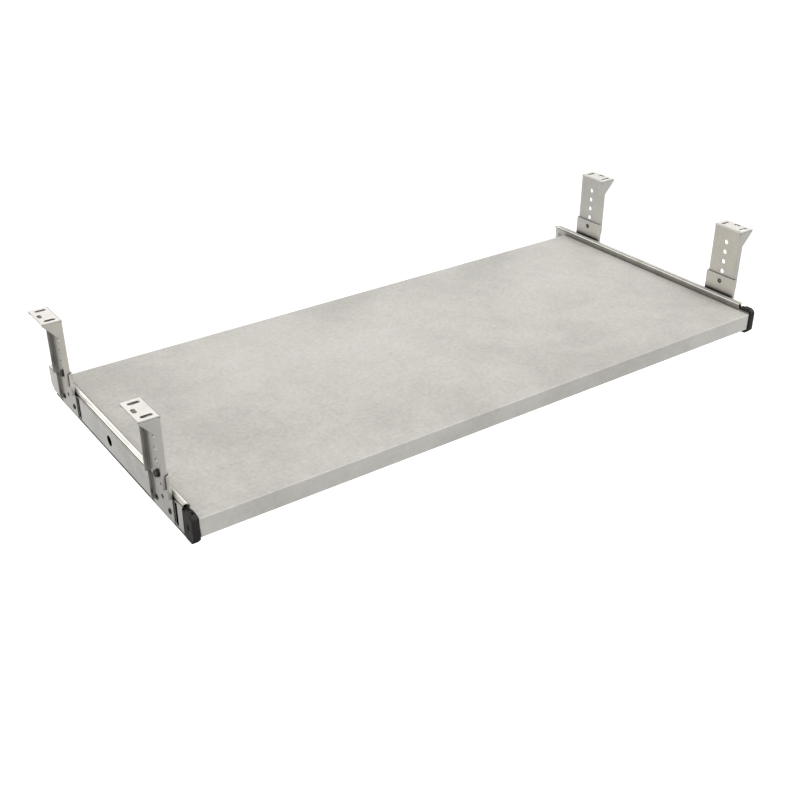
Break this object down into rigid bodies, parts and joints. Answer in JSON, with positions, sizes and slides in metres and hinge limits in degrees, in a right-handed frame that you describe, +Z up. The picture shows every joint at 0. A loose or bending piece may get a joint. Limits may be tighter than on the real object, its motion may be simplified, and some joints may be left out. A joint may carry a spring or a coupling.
{
  "type": "under desk sliding tray",
  "caption": "Flat laminated tray on ball-bearing side slides, hung below a desk by slotted, height-adjustable steel brackets; it slides forward for a keyboard.",
  "frame": {"origin": "in the plane where the bracket flanges meet the desk, midway between the four brackets", "axes": "+X across the desk to the user's right, -Y towards the user (the way the tray slides out), +Z up to the desk"},
  "size_m": [0.756, 0.337, 0.1138],
  "materials": {
    "chipboard": "raw",
    "laminate": "concrete-look satin laminate",
    "edge_band": "concrete-look satin edging",
    "slide_steel": "zinc plated",
    "retainer_steel": "zinc plated",
    "ball_steel": "polished",
    "bracket_steel": "satin warm light grey",
    "dark_steel": "dark plated",
    "black_plastic": "moulded"
  },
  "bodies": {
    "hanging_frame": {"slide_rail_left": "slide_steel", "slide_rail_right": "slide_steel", "upper_bracket_left_front": "bracket_steel", "lower_bracket_left_front": "bracket_steel", "height_bolt_left_front": "dark_steel", "rivet_fore_left_front": "dark_steel", "rivet_aft_left_front": "dark_steel", "upper_bracket_left_rear": "bracket_steel", "lower_bracket_left_rear": "bracket_steel", "height_bolt_left_rear": "dark_steel", "rivet_fore_left_rear": "dark_steel", "rivet_aft_left_rear": "dark_steel", "upper_bracket_right_front": "bracket_steel", "lower_bracket_right_front": "bracket_steel", "height_bolt_right_front": "dark_steel", "rivet_fore_right_front": "dark_steel", "rivet_aft_right_front": "dark_steel", "upper_bracket_right_rear": "bracket_steel", "lower_bracket_right_rear": "bracket_steel", "height_bolt_right_rear": "dark_steel", "rivet_fore_right_rear": "dark_steel", "rivet_aft_right_rear": "dark_steel"},
    "tray": {"board_core": "chipboard", "board_top_laminate": "laminate", "board_bottom_laminate": "laminate", "edge_band_front": "edge_band", "edge_band_rear": "edge_band", "edge_band_left": "edge_band", "edge_band_right": "edge_band", "slide_channel_left": "slide_steel", "front_cap_left": "black_plastic", "channel_screw_1_left": "dark_steel", "channel_screw_2_left": "dark_steel", "channel_screw_3_left": "dark_steel", "slide_channel_right": "slide_steel", "front_cap_right": "black_plastic", "channel_screw_1_right": "dark_steel", "channel_screw_2_right": "dark_steel", "channel_screw_3_right": "dark_steel"},
    "ball_cage_left": {"ball_retainer_left": "retainer_steel", "ball_top_1_left": "ball_steel", "ball_top_2_left": "ball_steel", "ball_top_3_left": "ball_steel", "ball_top_4_left": "ball_steel", "ball_bottom_1_left": "ball_steel", "ball_bottom_2_left": "ball_steel", "ball_bottom_3_left": "ball_steel", "ball_bottom_4_left": "ball_steel"},
    "ball_cage_right": {"ball_retainer_right": "retainer_steel", "ball_top_1_right": "ball_steel", "ball_top_2_right": "ball_steel", "ball_top_3_right": "ball_steel", "ball_top_4_right": "ball_steel", "ball_bottom_1_right": "ball_steel", "ball_bottom_2_right": "ball_steel", "ball_bottom_3_right": "ball_steel", "ball_bottom_4_right": "ball_steel"}
  },
  "joints": [
    {"name": "tray_slide", "type": "slide", "parent": "hanging_frame", "child": "tray", "axis": [0, -1, 0], "range_m": [0, 0.215]},
    {"name": "ball_cage_left_slide", "type": "slide", "parent": "hanging_frame", "child": "ball_cage_left", "axis": [0, -1, 0], "range_m": [0, 0.1075]},
    {"name": "ball_cage_right_slide", "type": "slide", "parent": "hanging_frame", "child": "ball_cage_right", "axis": [0, -1, 0], "range_m": [0, 0.1075]}
  ],
  "couplings": [
    {"joint": "ball_cage_left_slide", "follows": "tray_slide", "ratio": 0.5},
    {"joint": "ball_cage_right_slide", "follows": "tray_slide", "ratio": 0.5}
  ]
}
